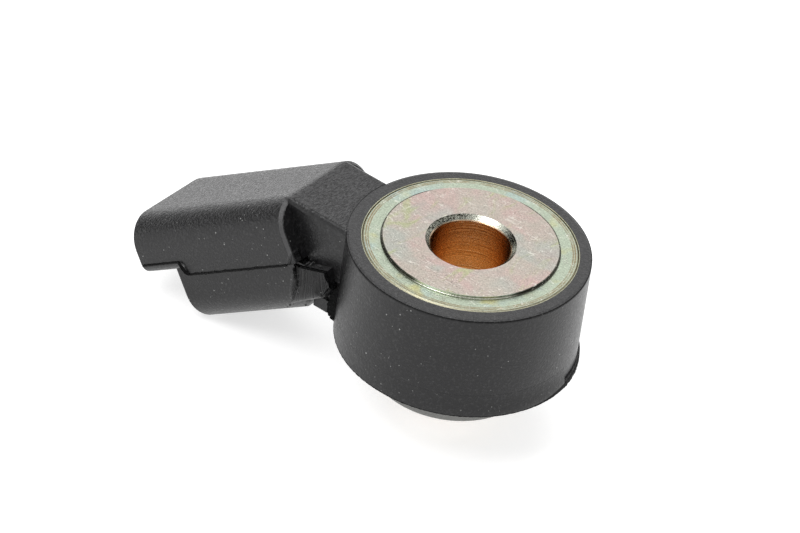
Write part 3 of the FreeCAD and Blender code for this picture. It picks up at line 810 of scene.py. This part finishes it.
def tears(along, look):  # coarse and fine noise along an edge
    coarse, fine, seed = look["tears"]
    return noise.noise((along * coarse, 0.0, seed)) + 0.5 * noise.noise((along * fine, 0.0, seed + 4.0))


# black flash left along the parting line of the hood, down to the step of its side

partingLook = {
    "inward": (0.25, 21.5), "down": (5.0, 6.5), "bend": (5.7, 6.7),  # from the mouth, under the top face
    "side": -7.3, "half": 0.030,
    "ragged": 0.16, "raggedPerMm": 3.1, "lipRagged": 0.35,
    "wander": 0.03, "wanderPerMm": 1.1,
    "proud": 0.05, "bumps": 0.03, "bumpsPerMm": 5.0,
    "seeds": (4.0, 2.0, 9.0), "thick": 0.10, "steps": (260, 2),
}


def addPartingFlash():
    look = partingLook
    ragged, wander, bumpy = look["seeds"]
    shape = bmesh.new()
    bmesh.ops.create_grid(shape, x_segments=look["steps"][0], y_segments=look["steps"][1], size=0.5)
    for vert in shape.verts:
        inward = partWay(look["inward"], vert.co.x + 0.5)
        down = partWay(look["down"], eased(inward, *look["bend"]))
        side = vert.co.y * 2
        torn = abs(noise.noise((inward * look["raggedPerMm"], side, ragged))) * look["ragged"]
        down += side * (look["half"] + torn * (1.0 if inward > look["bend"][1] else look["lipRagged"]))
        down += look["wander"] * noise.noise((inward * look["wanderPerMm"], wander, 0.0))
        bumps = look["bumps"] * noise.noise((inward * look["bumpsPerMm"], side, bumpy))
        proud = look["proud"] * (1 - side * side) + bumps
        vert.co = hoodSpot(inward, down, look["side"] - proud)
    bmesh.ops.recalc_face_normals(shape, faces=shape.faces)
    thicken(shape, look["thick"])
    keepPiece("partingFlash", shape, blackFlash)


# lowest edge of the barrel: a skin carries the side smoothly down to it at the front and left, and black
# flash covers the proud band at the right and thins out to a line towards the left

edgeLook = {"middle": (0.0, -0.2), "radius": 12.754, "shift": 0.3, "least": 0.006, "bottom": -12.57}

skirtLook = {"around": (-168.0, 8.0), "top": -10.0, "full": 0.80, "flare": 1.6, "steps": (160, 8)}

edgeFlashLook = {
    "around": (-170.0, 110.0), "covered": (-20.0, 14.0), "gone": (62.0, 100.0),
    "line": 0.07, "band": 0.50, "chips": 0.07, "chipsFrom": 0.7, "tears": (0.55, 1.7, 1.0),
    "lift": 0.012, "flare": 0.05, "leastFlare": 0.3, "sag": 0.04,
    "thick": 0.05, "steps": (420, 3),
}


def edgeRadius(angle):
    return edgeLook["radius"] + max(0.0, edgeLook["shift"] * math.cos(angle) + edgeLook["least"])


def edgeSpot(angle, radius, level):
    middle = edgeLook["middle"]
    return Vector((middle[0] + radius * math.cos(angle), middle[1] + radius * math.sin(angle), level)) * mm


def addBarrelSkirt():
    look = skirtLook
    shape = bmesh.new()
    bmesh.ops.create_grid(shape, x_segments=look["steps"][0], y_segments=look["steps"][1], size=0.5)
    for vert in shape.verts:
        fall = 0.5 - vert.co.y
        angle = math.radians(partWay(look["around"], vert.co.x + 0.5))
        flare = min(fall / look["full"], 1) ** look["flare"]
        radius = partWay((edgeLook["radius"], edgeRadius(angle)), flare)
        vert.co = edgeSpot(angle, radius, partWay((look["top"], edgeLook["bottom"]), fall))
    bmesh.ops.reverse_faces(shape, faces=shape.faces[:])
    keepPiece("barrelSkirt", shape, blackMoulding, True)


def addEdgeFlash():
    look = edgeFlashLook
    shape = bmesh.new()
    bmesh.ops.create_grid(shape, x_segments=look["steps"][0], y_segments=look["steps"][1], size=0.5)
    for vert in shape.verts:
        degrees = partWay(look["around"], vert.co.x + 0.5)
        rise = vert.co.y + 0.5
        angle = math.radians(degrees)
        torn = 0.5 + tears(degrees, look)  # mostly between 0 and 1
        covered = eased(degrees, *look["covered"]) * (1 - eased(degrees, *look["gone"]))
        chips = look["chips"] * max(0.0, torn - look["chipsFrom"]) * (1 - covered)
        height = look["line"] * (0.5 + torn) + covered * look["band"] + chips
        flare = look["flare"] * torn * (look["leastFlare"] + covered) * (1 - rise)
        level = edgeLook["bottom"] - look["sag"] * torn + height * rise
        vert.co = edgeSpot(angle, edgeRadius(angle) + look["lift"] + flare, level)
    bmesh.ops.recalc_face_normals(shape, faces=shape.faces)
    thicken(shape, look["thick"])
    keepPiece("edgeFlash", shape, blackFlash)


# torn web of flash that closes the gap between the stub and the wall of the barrel, black all over as painted
# shade of the deep gap

webLook = {
    "angle": 214.5, "wander": 0.9, "inside": 12.6,
    "rise": (-6.6, -12.7), "narrows": (11.3, 12.7),  # it narrows towards its lower end
    "least": 0.15, "reach": 0.80, "narrowest": 0.05,
    "ragged": 0.28, "droop": 0.08, "tears": (1.7, 5.0, 3.0),
    "thick": 0.06, "steps": (44, 6),
}


def addShadedGapWeb():
    look = webLook
    shape = bmesh.new()
    bmesh.ops.create_grid(shape, x_segments=look["steps"][0], y_segments=look["steps"][1], size=0.5)
    for vert in shape.verts:
        level = partWay(look["rise"], vert.co.x + 0.5)
        out = vert.co.y + 0.5
        torn = tears(level, look)
        reach = look["least"] + look["reach"] * (1 - eased(-level, *look["narrows"])) + look["ragged"] * torn
        angle = math.radians(look["angle"] + look["wander"] * torn * out)
        radius = look["inside"] + max(look["narrowest"], reach) * out
        vert.co = edgeSpot(angle, radius, level + look["droop"] * torn * out)
    thicken(shape, look["thick"])
    # black sheet: partly torn flash, partly painted shade in the gap
    keepPiece("shadedGapWeb", shape, blackFlash)


# rounded edge of the flange and rounded foot of the seating disc, where the plating is rubbed bright,
# and a fine black bead along the outer edge of the rim as a line of painted shade

beadLook = {
    "flangeBead": {
        "middle": (0.0, 0.0), "radius": 11.285, "thick": 0.062, "level": -0.418, "sides": 10, "steps": 200,
    },
    "seatBead": {
        "middle": (0.0, 0.0), "radius": 9.27, "thick": 0.09, "level": -0.29, "sides": 10, "steps": 200,
    },
    "rimShadeLine": {
        "middle": (0.0, -0.2), "radius": 12.69, "thick": 0.055, "level": -0.505, "sides": 6, "steps": 240,
    },
}


def addBead(name, material):
    look = beadLook[name]
    shape = bmesh.new()
    bmesh.ops.create_circle(shape, cap_ends=False, segments=look["sides"], radius=look["thick"] * mm)
    bmesh.ops.rotate(shape, verts=shape.verts, cent=(0, 0, 0), matrix=Matrix.Rotation(math.pi / 2, 3, "X"))
    bmesh.ops.translate(shape, verts=shape.verts, vec=Vector((look["radius"], 0, look["level"])) * mm)
    bmesh.ops.spin(
        shape, geom=shape.verts[:] + shape.edges[:], cent=(0, 0, 0), axis=(0, 0, 1), angle=2 * math.pi,
        steps=look["steps"], use_merge=True,
    )
    bmesh.ops.translate(shape, verts=shape.verts, vec=Vector((*look["middle"], 0)) * mm)
    bmesh.ops.recalc_face_normals(shape, faces=shape.faces)
    keepPiece(name, shape, material, True)


# burrs and torn flakes where the stub was trimmed, and small nubs under the hood

burrLook = {
    "seed": 11,
    "drift": (0.12, 0.03, 0.10),
    "squash": ((0.7, 1.3), (0.5, 0.9), (0.7, 1.5)),
    "dents": 0.35,
    "dentsPerMm": 6,
    "lumps": [  # from, to, how many, smallest and largest radius
        {"from": (-15.35, -9.15, -6.9), "to": (-14.45, -9.38, -8.6), "count": 12, "radius": (0.06, 0.16)},
        {"from": (-14.45, -9.38, -8.6), "to": (-14.15, -9.05, -10.7), "count": 14, "radius": (0.06, 0.18)},
        {"from": (-11.0, -8.9, -7.2), "to": (-11.0, -8.5, -9.6), "count": 6, "radius": (0.05, 0.12)},
    ],
    "nubs": [  # spot and radius
        ((-16.35, -7.75, -13.62), 0.15), ((-15.80, -8.17, -12.98), 0.10),
        ((-14.02, -7.85, -12.13), 0.10), ((-15.20, -8.40, -12.40), 0.07),
    ],
}

flakeLook = {
    "sides": 5, "tip": 0.25, "flatness": 0.45, "dents": 0.4, "dentsPerMm": 4,
    "flakes": [
        {"spot": (-14.62, -8.75, -6.62), "turn": (0.4, 1.3, 0.3), "long": 0.95, "wide": 0.34},
        {"spot": (-14.05, -8.45, -6.35), "turn": (1.2, 0.2, 0.9), "long": 0.60, "wide": 0.30},
        {"spot": (-13.55, -8.35, -6.10), "turn": (0.1, 0.5, 2.0), "long": 0.70, "wide": 0.28},
        {"spot": (-12.30, -8.45, -5.75), "turn": (0.9, 1.1, 0.2), "long": 0.60, "wide": 0.24},
    ],
}


def lump(shape, spot, radius, chance):
    look = burrLook
    made = bmesh.ops.create_icosphere(shape, subdivisions=2, radius=radius * mm)["verts"]
    bmesh.ops.scale(shape, verts=made, vec=[chance.uniform(*limits) for limits in look["squash"]])
    for vert in made:
        vert.co *= 1 + look["dents"] * noise.noise(vert.co / mm * look["dentsPerMm"] + Vector(spot))
    bmesh.ops.translate(shape, verts=made, vec=Vector(spot) * mm)


def addBurrs():
    look = burrLook
    chance = random.Random(look["seed"])
    shape = bmesh.new()
    for row in look["lumps"]:
        start, end = Vector(row["from"]), Vector(row["to"])
        for i in range(row["count"]):
            spot = start.lerp(end, (i + chance.random()) / row["count"])
            spot += Vector([chance.uniform(-reach, reach) for reach in look["drift"]])
            lump(shape, spot, chance.uniform(*row["radius"]), chance)
    keepPiece("stubBurrs", shape, blackFlash, True)
    shape = bmesh.new()
    for spot, radius in look["nubs"]:
        lump(shape, spot, radius, chance)
    keepPiece("hoodNubs", shape, blackMoulding, True)


def addFlakes():
    look = flakeLook
    shape = bmesh.new()
    for row in look["flakes"]:
        made = bmesh.ops.create_cone(
            shape, cap_ends=True, segments=look["sides"], radius1=row["wide"] * mm,
            radius2=look["tip"] * row["wide"] * mm, depth=row["long"] * mm,
        )["verts"]
        bmesh.ops.scale(shape, verts=made, vec=(1, look["flatness"], 1))
        for vert in made:
            vert.co *= 1 + look["dents"] * noise.noise(vert.co / mm * look["dentsPerMm"])
        turn = Matrix.Identity(3)
        for angle, axis in zip(row["turn"], "XYZ"):
            turn = turn @ Matrix.Rotation(angle, 3, axis)
        bmesh.ops.rotate(shape, verts=made, cent=(0, 0, 0), matrix=turn)
        bmesh.ops.translate(shape, verts=made, vec=Vector(row["spot"]) * mm)
    keepPiece("tornFlakes", shape, tornPlastic)


addPartingFlash()
addBarrelSkirt()
addEdgeFlash()
addShadedGapWeb()
addBead("flangeBead", sleeveSteel)
addBead("seatBead", sleeveSteel)
# painted shade: a black bead standing in for the shadow line at the rim's outer edge
addBead("rimShadeLine", blackFlash)
addBurrs()
addFlakes()
print("flash and burrs added")
